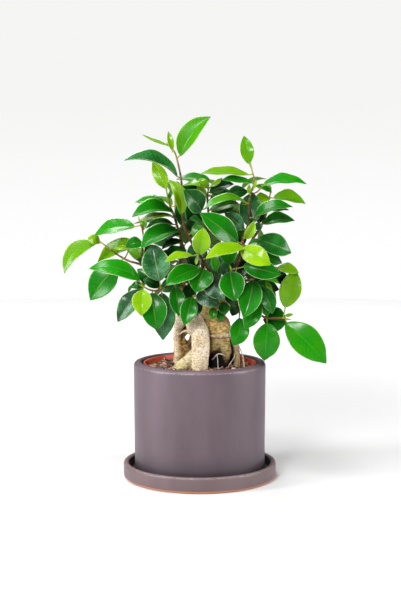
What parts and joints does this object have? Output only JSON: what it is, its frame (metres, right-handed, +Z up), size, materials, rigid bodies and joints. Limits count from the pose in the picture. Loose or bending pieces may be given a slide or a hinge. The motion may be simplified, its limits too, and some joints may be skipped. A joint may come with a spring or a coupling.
{
  "type": "potted ginseng ficus",
  "caption": "Small ginseng ficus with swollen crossing roots and leafy grafted shoots, standing in a straight matte clay pot on its saucer.",
  "frame": {"origin": "middle of the saucer's underside", "axes": "+Z up along the pot's axis, -Y towards the front of the plant, +X to the viewer's right"},
  "size_m": [0.2789, 0.1863, 0.3809],
  "materials": {
    "clay": "matte",
    "terracotta_plastic": "satin",
    "potting_mix": "matte",
    "bark": "matte",
    "foliage": "gloss"
  },
  "bodies": {
    "root": {"saucer": "clay", "pot": "clay", "nursery_pot": "terracotta_plastic", "soil": "potting_mix", "trunk": "bark", "shoot_leader": "foliage", "shoot_upper_left": "foliage", "shoot_far_left": "foliage", "shoot_low_left": "foliage", "shoot_low_front": "foliage", "shoot_upper_right": "foliage", "shoot_right": "foliage", "shoot_right_middle": "foliage", "shoot_low_right": "foliage", "shoot_top": "foliage", "shoot_back_upper_left": "foliage", "shoot_back_upper_right": "foliage", "shoot_back_left": "foliage", "shoot_back_right": "foliage", "shoot_back_middle": "foliage", "shoot_back_low": "foliage"}
  },
  "joints": []
}
